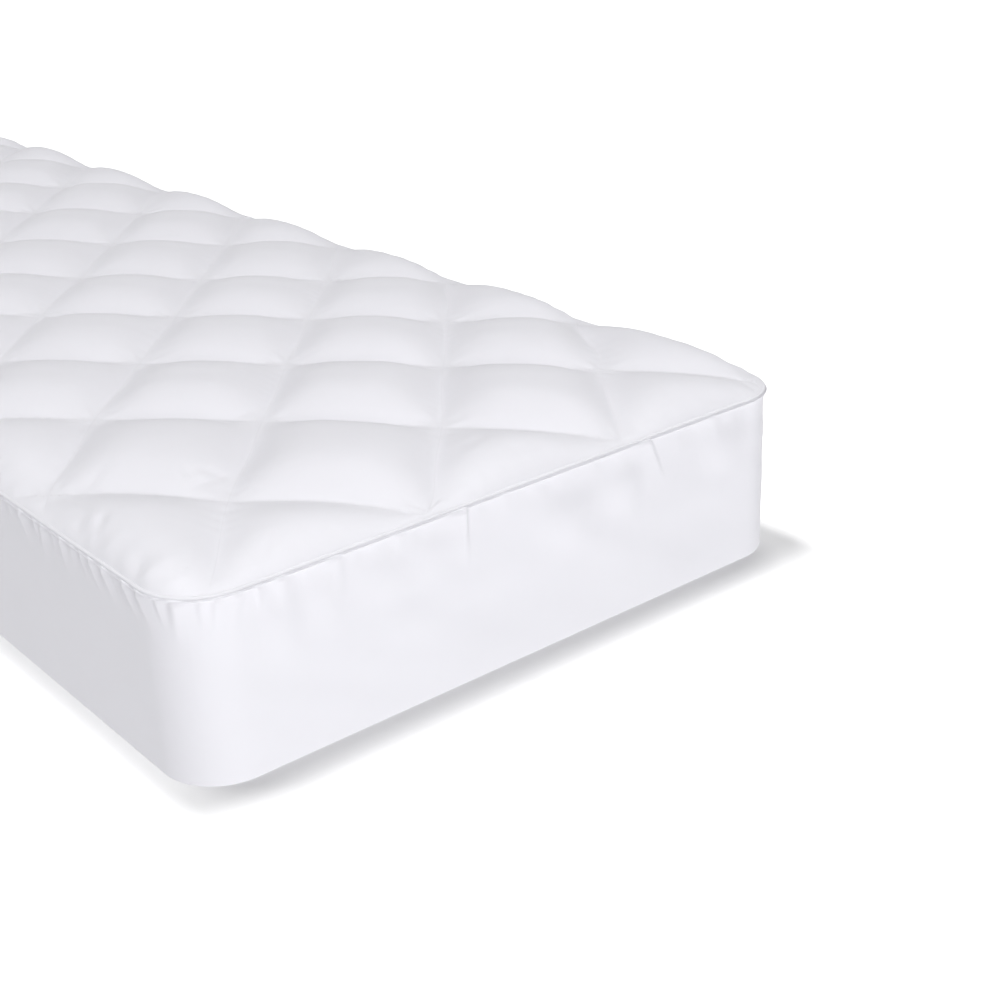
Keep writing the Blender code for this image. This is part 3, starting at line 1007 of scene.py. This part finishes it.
@dataclass
class Skirt:
    """The band of cloth round the mattress, gathered into the seam and turned in at the floor."""

    outline: Outline
    finish: ClothFinish
    seam_height: float
    cord_inset: float = 0.0008
    cord_reach: float = 0.0022
    cord_angles: tuple[float, ...] = (90.0, 62.0, 36.0, 13.0)
    cord_end: float = 10.0
    held_levels: int = 5
    thickness: float = 0.002
    hem_fold: float = 0.001
    hem_fold_steps: int = 5
    hem_insets: tuple[float, ...] = (0.012, 0.03, 0.055)
    shoulder: float = 0.0015
    shoulder_start: float = 0.96
    shoulder_step: float = 0.0008
    shoulder_drop: float = 0.002
    shoulder_fade: float = 0.01
    fold_start: float = 0.005
    fold_at_seam: float = 0.1
    swell_droop: float = 1.7
    wrinkle: float = 0.0004
    wrinkle_size: float = 0.055
    wrinkle_fade: float = 0.03
    wrinkle_climb: float = 2.4
    deepest: float = 0.0021
    # Each distance down the wall, or place along the seam, with the mesh's step up to it
    row_steps: Steps = ((0.032, 0.0026), (0.07, 0.0042), (1.0, 0.009))
    column_steps: Steps = ((-0.37, 0.008), (0.1, 0.0019), (0.72, 0.0034), (9.0, 0.008))
    crease_step: float = 0.0016
    crease_margins: tuple[float, float] = (0.004, 0.006)
    least_step: float = 0.0006
    least_row: float = 0.0002
    folds: tuple[Fold, ...] = tuple(
        Fold(place / 1000, half_width / 1000, depth / 1000, reach / 1000, lean, shape)
        for place, half_width, depth, reach, lean, shape in (
            # Place, half width, depth and reach in millimetres, lean as a slope, and the section's shape
            # The long side, from the photograph's left edge to the near corner
            (-358, -14, 2.6, 34, 0.1, PLEAT), (-331, -14, 2.2, 30, 0.1, PLEAT),
            (-306, -12, 2, 28, 0.1, PLEAT), (-279, -16, 3.8, 40, 0.3, PLEAT),
            (-247, -10, 2.8, 36, 0.1, PLEAT), (-230, -14, 3.4, 44, -0.2, PLEAT),
            (-210, -10, 2.2, 30, 0.1, PLEAT), (-191, -16, 3.6, 42, 0.05, PLEAT),
            (-170, 10, 1.8, 34, -0.2, RIDGE), (-153, -9, 2.4, 32, 0.2, PLEAT),
            (-134, -13, 3.6, 38, 0.35, PLEAT), (-109, -16, 4, 40, 0.4, PLEAT),
            (-90, 8, 1.4, 30, 0.5, RIDGE), (-71, -15, 3.8, 40, 0.4, PLEAT), (-47, -16, 3, 44, 0.35, PLEAT),
            (-24, -10, 2.2, 40, 0.2, PLEAT),
            # Round the near corner
            (-6, -17, 3.4, 48, -0.06, PLEAT), (15, -9, 2.2, 32, 0, PLEAT), (29, -12, 2.6, 40, -0.1, PLEAT),
            (48, 10, 2, 50, -0.3, RIDGE), (66, -10, 2.6, 32, 0.05, PLEAT),
            # Along the foot end
            (89, 12, 2.4, 46, 0.1, RIDGE), (108, 9, -1.6, 32, 0, TROUGH), (146, 22, 2.8, 52, 0.05, PLEAT),
            (176, 10, -1.4, 30, 0, TROUGH), (214, 12, 1.8, 30, 0.05, RIDGE),
            (238, 9, -1.4, 26, 0.05, TROUGH), (288, 34, 4.2, 68, 0.03, CREASE),
            (316, 10, -1.6, 30, 0.05, TROUGH), (338, 12, 1.6, 28, 0.05, RIDGE),
            (362, 10, -1.4, 26, 0.05, TROUGH), (392, 14, -1.6, 30, 0.2, TROUGH),
            (468, 18, -1.8, 50, 0.25, TROUGH), (524, 36, 3, 62, 0.46, CREASE),
            (588, 20, -1.8, 54, 0.2, TROUGH), (618, 12, 1.8, 40, 0.3, RIDGE),
            (668, 18, -1.8, 54, 0.1, TROUGH),
        )
    )
    swells: tuple[Swell, ...] = tuple(
        Swell(*(value / 1000 for value in row))
        for row in (
            # Place along the seam, level, half width, half height and rise, in millimetres
            (-190, 164, 260, 24, 1.2), (88, 138, 28, 32, 2.8), (134, 146, 24, 28, 2),
            (196, 148, 40, 28, 2.4), (252, 146, 36, 28, 2.6), (414, 134, 48, 34, 5.6),
            (494, 144, 34, 28, 5), (636, 146, 40, 28, 4), (-300, 110, 70, 50, 0.9),
            (-150, 95, 60, 45, -0.9), (226, 98, 44, 24, 2.4), (330, 72, 70, 34, -2.2), (466, 88, 54, 30, 2),
            (600, 66, 80, 36, -2.4),
        )
    )
    chance_seed: int = 11
    hidden_start: float = 0.72
    hidden_end: float = -0.37
    hidden_corner_reach: float = 0.12
    # The least size of a fold out of view and how much more it can be
    hidden_depth: tuple[float, float] = (0.0006, 0.0013)
    hidden_half_width: tuple[float, float] = (0.008, 0.008)
    hidden_reach: tuple[float, float] = (0.026, 0.03)
    hidden_lean: float = 0.25
    hidden_folds: list[Fold] = field(default_factory=list)

    def build(self, groups: ShaderGroups) -> Object:
        """Makes the skirt as a sheet of its real thickness.

        Args:
            groups: The shared node groups.

        Returns:
            The skirt.
        """
        self.hidden_folds = self._folds_out_of_view()
        runs = self._columns()
        section = self._section()
        rings = []
        for level, (inset, height) in enumerate(section):
            spot, out = self.outline.place(runs, inset)
            moved = self._moved(runs, height) if level >= self.held_levels else 0.0
            rings.append(np.vstack((spot + out * moved, np.full(len(runs), height))).T)
        count = len(runs)
        down = np.cumsum([0.0] + [math.dist(a, b) for a, b in zip(section, section[1:])])
        ends = np.append(runs, runs[0] + self.outline.perimeter) + 1.0
        faces, uvs = [], []
        for row in range(len(section) - 1):
            upper, lower = row * count, (row + 1) * count
            top, bottom = down[row], down[row + 1]
            for k in range(count):
                after = (k + 1) % count
                faces.append([upper + k, lower + k, lower + after, upper + after])
                here, there = ends[k], ends[k + 1]
                uvs += [(here, top), (here, bottom), (there, bottom), (there, top)]
        skirt = mesh_object("skirt_cloth", np.vstack(rings), faces, np.array(uvs))
        skirt.data.materials.append(self.finish.build(groups))
        wall = skirt.modifiers.new("thickness", "SOLIDIFY")
        wall.thickness = self.thickness
        wall.offset = -1.0
        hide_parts("skirt")
        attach(skirt, BODY)
        return skirt

    def _folds_out_of_view(self) -> list[Fold]:
        """Makes gathers for the sides that the photograph doesn't show, like those that it does.

        Returns:
            The folds, tighter near the corners.
        """
        chance = random.Random(self.chance_seed)
        quarter = math.pi * self.outline.radius / 2
        first_corner = self.outline.width - 2 * self.outline.radius + quarter
        second_corner = first_corner + self.outline.length - 2 * self.outline.radius + quarter
        third_corner = second_corner + first_corner
        folds = []
        place = self.hidden_start
        while place < self.outline.perimeter + self.hidden_end:
            nearest = min(abs(place - corner) for corner in (first_corner, second_corner, third_corner))
            tight = math.exp(-nearest / self.hidden_corner_reach)
            sizes = (self.hidden_depth, self.hidden_half_width, self.hidden_reach)
            depth, half_width, reach = (least + more * chance.random() for least, more in sizes)
            lean = chance.uniform(-self.hidden_lean, self.hidden_lean)
            folds.append(Fold(place, half_width, -depth * (0.55 + 0.6 * tight), reach, lean, TROUGH))
            place += half_width * chance.uniform(2.0, 5.0 - 2.4 * tight)
        return folds

    def _columns(self) -> Array:
        """Spaces the mesh's columns, closer together where there are folds.

        Returns:
            Their places along the seam, in order.
        """
        half = self.outline.perimeter / 2
        runs: list[float] = []
        start = -half
        for limit, step in self.column_steps:
            end = min(limit, half)
            count = max(round((end - start) / step), 1)
            runs += list(np.mod(start + (end - start) * np.arange(count) / count, self.outline.perimeter))
            start = end
        for fold in self.folds:
            if fold.shape is CREASE:
                ends = (fold.place, fold.place + fold.lean * fold.reach)
                low, high = min(ends) - self.crease_margins[0], max(ends) + self.crease_margins[1]
                runs += list(np.mod(np.arange(low, high, self.crease_step), self.outline.perimeter))
        runs = np.sort(np.array(runs))
        keep = np.concatenate(([True], np.diff(runs) > self.least_step))
        return runs[keep]

    def _section(self) -> list[tuple[float, float]]:
        """Runs down the outer face, from round the piping to the hem's inner edge.

        Returns:
            The inset and height of each level.
        """
        section = []
        for turn in (math.radians(degrees) for degrees in self.cord_angles):
            across = self.cord_inset - self.cord_reach * math.cos(turn)
            section.append((across, self.seam_height - self.cord_reach * math.sin(turn)))
        top = self.top
        down = self.shoulder_drop
        section.append((-self.shoulder_start * self.shoulder, top))
        section += [(-self.shoulder, top - drop) for drop in (self.shoulder_step, down)]
        for limit, step in self.row_steps:
            while down < limit and top - down - step > self.hem_fold:
                down += step
                fade = math.exp(-(down - self.shoulder_drop) / self.shoulder_fade)
                section.append((-self.shoulder * fade, top - down))
        for step in range(self.hem_fold_steps + 1):
            turn = 0.5 * math.pi * step / self.hem_fold_steps
            place = (self.hem_fold * (1.0 - math.cos(turn)), self.hem_fold * (1.0 - math.sin(turn)))
            if section[-1][1] - place[1] > self.least_row:
                section.append(place)
        return section + [(inset, 0.0) for inset in self.hem_insets]

    @property
    def top(self) -> float:
        """The height at which the cloth leaves the piping."""
        return self.seam_height - self.cord_reach * math.sin(math.radians(self.cord_end))

    def _moved(self, runs: Array, height: float) -> Array:
        """How far the cloth stands out from its plain wall, at one height.

        Args:
            runs: Places along the seam.
            height: The height above the floor.

        Returns:
            Distances outwards in metres.
        """
        down = self.top - height
        length = self.outline.perimeter
        signed = np.mod(runs + length / 2, length) - length / 2
        moved = np.zeros_like(runs)
        for fold in [*self.folds, *self.hidden_folds]:
            if down >= fold.reach:
                continue
            far = down / fold.reach
            begun = min(self.fold_at_seam + down / self.fold_start, 1.0)
            faded = (1.0 - far) ** 2 * (1.0 + 2.0 * far) * begun
            centre = fold.place + fold.lean * down
            if centre > length / 2:
                centre -= length
            across = (signed - centre) / fold.half_width
            moved += fold.depth * faded * self._profile(across, fold.shape)
        for swell in self.swells:
            across = np.clip(np.abs(signed - swell.place) / swell.half_width, 0.0, 1.0)
            upward = (height - swell.level) / swell.half_height
            upward = min(upward, 1.0) if upward > 0.0 else min(-upward / self.swell_droop, 1.0)
            moved += swell.proud * np.cos(across * math.pi / 2) ** 2 * math.cos(upward * math.pi / 2) ** 2
        free = min(max(down / self.wrinkle_fade, 0.0), 1.0) * min(max(height / self.wrinkle_fade, 0.0), 1.0)
        angle = runs / length * 2 * math.pi
        climbed = np.sin(angle) + height * self.wrinkle_climb
        wrinkles = smooth_noise(np.cos(angle), climbed, self.wrinkle_size, 1.0)
        return np.maximum(moved + self.wrinkle * free * wrinkles, -self.deepest)

    @staticmethod
    def _profile(across: Array, shape: FoldShape) -> Array:
        """A fold's section.

        Args:
            across: Places across the fold, from -1 to 1.
            shape: The section's shape.

        Returns:
            Shares of the fold's depth.
        """
        if shape in STEEP_SIDE:
            slow = np.clip(1.0 + across, 0.0, 1.0) ** 1.6
            quick = np.clip(1.0 - across / STEEP_SIDE[shape], 0.0, 1.0)
            return np.where(across < 0.0, slow, quick * quick * (3.0 - 2.0 * quick))
        near = np.clip(np.abs(across), 0.0, 1.0)
        if shape is RIDGE:
            return np.cos(near * math.pi / 2) ** 2
        return (1.0 - near) ** 1.3 * (1.0 + 1.3 * near)


@dataclass
class MattressBlock:
    """The plain mattress, which shows only from below."""

    finish: ClothFinish

    def dress(self, groups: ShaderGroups) -> Object:
        """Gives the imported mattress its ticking.

        Args:
            groups: The shared node groups.

        Returns:
            The mattress.
        """
        block = bpy.data.objects["mattress"]
        material = self.finish.build(groups)
        wiring = Wiring(material.node_tree)
        place = wiring.add("ShaderNodeTexCoord").outputs["Object"]
        for node in material.node_tree.nodes:
            if node.type == "GROUP":
                wiring.feed(node, {"Vector": place})
        block.data.materials.clear()
        block.data.materials.append(material)
        return block


@dataclass(frozen=True)
class Sun:
    """A soft light from far away; its azimuth runs in degrees from the foot end towards the right."""

    name: str
    strength: float
    spread: float
    azimuth: float
    elevation: float

    def build(self) -> None:
        """Hangs the light."""
        turn, rise = math.radians(self.azimuth), math.radians(self.elevation)
        source = Vector((math.sin(turn) * math.cos(rise), -math.cos(turn) * math.cos(rise), math.sin(rise)))
        light = bpy.data.lights.new(self.name, "SUN")
        light.energy = self.strength
        light.angle = math.radians(self.spread)
        new_object(self.name, light).rotation_euler = source.to_track_quat("Z", "Y").to_euler()


@dataclass
class Studio:
    """The pale floor, the soft lights and the camera."""

    width: float
    length: float
    floor_size: float = 60.0
    floor_drop: float = 0.0004
    # A grey floor colour and a painted glow that rises with distance, leaving painted shadow near the topper
    floor_colour: tuple[float, ...] = (0.86, 0.86, 0.862, 1.0)
    painted_shadow_reach: float = 0.09
    painted_shadow_squeeze: tuple[float, ...] = (2.1, 1.0, 1.0)
    painted_glow: float = 0.48
    bounce: float = 1.14
    bounce_colour: tuple[float, ...] = (0.97, 0.97, 0.98, 1.0)
    surround_colour: tuple[float, ...] = (0.98, 0.98, 1.0, 1.0)
    surround_light: float = 0.04
    surround_seen: float = 1.05
    suns: tuple[Sun, ...] = (
        Sun("back_left", strength=1.4, spread=20.0, azimuth=-152.0, elevation=70.5),
        Sun("back_right", strength=1.1, spread=14.0, azimuth=135.0, elevation=78.0),
        Sun("front", strength=0.66, spread=24.0, azimuth=-10.0, elevation=18.0),
        Sun("front_left", strength=0.2, spread=30.0, azimuth=-45.0, elevation=25.0),
        Sun("front_right", strength=0.2, spread=24.0, azimuth=30.0, elevation=18.0),
    )
    softbox_power: float = 16.5
    softbox_side: float = 1.1
    softbox_place: Triple = (-1.0, -2.8, 1.15)
    softbox_aim: Triple = (0.0, -0.9, 0.2)
    camera_place: Triple = (-0.8878, -2.0737, 0.7893)
    camera_pitch: float = 66.007
    camera_yaw: float = -38.639
    camera_roll: float = -2.497
    focal_pixels: float = 1601.2
    frame_pixels: float = 1000.0
    sensor: float = 36.0
    view_reach: float = 100.0

    def build(self) -> None:
        """Sets up the floor, lights and camera."""
        self._floor()
        self._world()
        for sun in self.suns:
            sun.build()
        self._softbox()
        self._camera()

    def _floor(self) -> None:
        """White floor: painted glow away from the topper, painted shadow near it, plain light for the cloth.
        """
        bpy.ops.mesh.primitive_plane_add(size=self.floor_size, location=(0.0, 0.0, -self.floor_drop))
        floor = bpy.context.object
        floor.name = "floor"
        paint = bpy.data.materials.new("floor_white")
        paint.use_nodes = True
        nodes = paint.node_tree.nodes
        wiring = Wiring(paint.node_tree)
        spot = wiring.add("ShaderNodeTexCoord").outputs["Object"]
        steps = (
            ("ABSOLUTE", ()),
            ("SUBTRACT", (self.width / 2, self.length / 2, 0.0)),
            ("MAXIMUM", (0.0, 0.0, 0.0)),
            ("MULTIPLY", self.painted_shadow_squeeze),
        )
        for operation, vector in steps:
            values = {0: spot, 1: vector} if vector else {0: spot}
            spot = wiring.add("ShaderNodeVectorMath", values, operation=operation).outputs[0]
        reach = wiring.add("ShaderNodeVectorMath", {0: spot}, operation="LENGTH").outputs["Value"]
        # Painted glow, none at the topper's outline and full past the painted shadow's reach
        values = {"Value": reach, "From Max": self.painted_shadow_reach, "To Max": self.painted_glow}
        painted_glow = wiring.add("ShaderNodeMapRange", values, interpolation_type="SMOOTHSTEP").outputs[0]
        values = {"Base Color": self.floor_colour, "Roughness": 1.0, "Specular IOR Level": 0.0}
        values |= {"Emission Strength": 1.0, "Emission Color": painted_glow}
        wiring.feed(nodes["Principled BSDF"], values)
        # Every ray but the camera's sees a plain glow instead of the lit floor, standing in for bounce light
        bounce = wiring.add("ShaderNodeEmission", {"Color": self.bounce_colour, "Strength": self.bounce})
        seen = wiring.add("ShaderNodeLightPath").outputs["Is Camera Ray"]
        values = {0: seen, 1: bounce.outputs[0], 2: nodes["Principled BSDF"].outputs[0]}
        either = wiring.add("ShaderNodeMixShader", values)
        wiring.feed(nodes["Material Output"], {"Surface": either.outputs[0]})
        floor.data.materials.append(paint)

    def _world(self) -> None:
        """A white surround that gives little light of its own."""
        world = bpy.data.worlds.new("surround")
        bpy.context.scene.world = world
        world.use_nodes = True
        wiring = Wiring(world.node_tree)
        seen = wiring.add("ShaderNodeLightPath").outputs["Is Camera Ray"]
        values = {"Value": seen, "To Min": self.surround_light, "To Max": self.surround_seen}
        share = wiring.add("ShaderNodeMapRange", values)
        values = {"Color": self.surround_colour, "Strength": share.outputs[0]}
        wiring.feed(world.node_tree.nodes["Background"], values)

    def _softbox(self) -> None:
        """A square soft light near the topper, so that its near end is the brighter."""
        light = bpy.data.lights.new("near_softbox", "AREA")
        light.energy = self.softbox_power
        light.size = self.softbox_side
        lamp = new_object("near_softbox", light)
        lamp.location = self.softbox_place
        source = Vector(self.softbox_place) - Vector(self.softbox_aim)
        lamp.rotation_euler = source.to_track_quat("Z", "Y").to_euler()

    def _camera(self) -> None:
        """Places the camera at the photograph's angle."""
        data = bpy.data.cameras.new("camera")
        data.sensor_width = self.sensor
        data.lens = self.focal_pixels / self.frame_pixels * self.sensor
        data.clip_end = self.view_reach
        camera = new_object("camera", data)
        turn = (
            Matrix.Rotation(math.radians(self.camera_yaw), 4, "Z")
            @ Matrix.Rotation(math.radians(self.camera_pitch), 4, "X")
            @ Matrix.Rotation(math.radians(self.camera_roll), 4, "Z")
        )
        camera.matrix_world = Matrix.Translation(self.camera_place) @ turn
        bpy.context.scene.camera = camera
        bpy.context.scene.view_settings.view_transform = "Standard"


# Name, colour, roughness, sheen, weave, threads a metre and their depth, and the rumples' size and depth
PANEL_CLOTH = ClothFinish(
    "panel_microfibre", (0.812, 0.807, 0.848), 0.72, 0.25, Weave.PLAIN, 2200.0, 0.00005, 0.035, 0.0006
)
THREAD = ClothFinish(
    "stitching_thread", (0.76, 0.755, 0.785), 0.6, 0.1, Weave.TWILL, 3000.0, 0.00005, 0.02, 0.0001
)
PIPING_CLOTH = ClothFinish(
    "piping_cover", (0.81, 0.806, 0.845), 0.7, 0.2, Weave.TWILL, 1800.0, 0.00006, 0.008, 0.0002
)
SKIRT_CLOTH = ClothFinish(
    "skirt_knit", (0.83, 0.825, 0.868), 0.75, 0.25, Weave.KNIT, 1500.0, 0.00006, 0.06, 0.0008, 0.5
)
TICKING = ClothFinish(
    "mattress_ticking", (0.74, 0.72, 0.68), 0.8, 0.1, Weave.TWILL, 900.0, 0.0001, 0.08, 0.0008
)
OUTLINE = Outline(width=0.75, length=2.0, radius=0.06)


def main() -> None:
    """Builds every piece in order."""
    logging.basicConfig(level=logging.INFO, format="%(message)s")
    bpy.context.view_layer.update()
    panel_low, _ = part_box("quilted_panel")
    piping_low, piping_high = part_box("edge_piping")
    seam_height = (piping_low[2] + piping_high[2]) / 2
    groups = ShaderGroups()
    quilting = Quilting(OUTLINE, QuiltedPanel.inset)
    panel = QuiltedPanel(OUTLINE, quilting, PANEL_CLOTH, panel_low[2], seam_height)
    made = [panel.build(groups)]
    made.append(StitchRow().build("quilting_stitches", *panel.stitch_lines(), THREAD.build(groups)))
    made.append(EdgePiping(OUTLINE, PIPING_CLOTH, seam_height).build(groups))
    made.append(Skirt(OUTLINE, SKIRT_CLOTH, seam_height).build(groups))
    made.append(MattressBlock(TICKING).dress(groups))
    Studio(OUTLINE.width, OUTLINE.length).build()
    for piece in made:
        LOG.info("%s: %d faces", piece.name, len(piece.data.polygons))


if __name__ == "__main__":
    main()
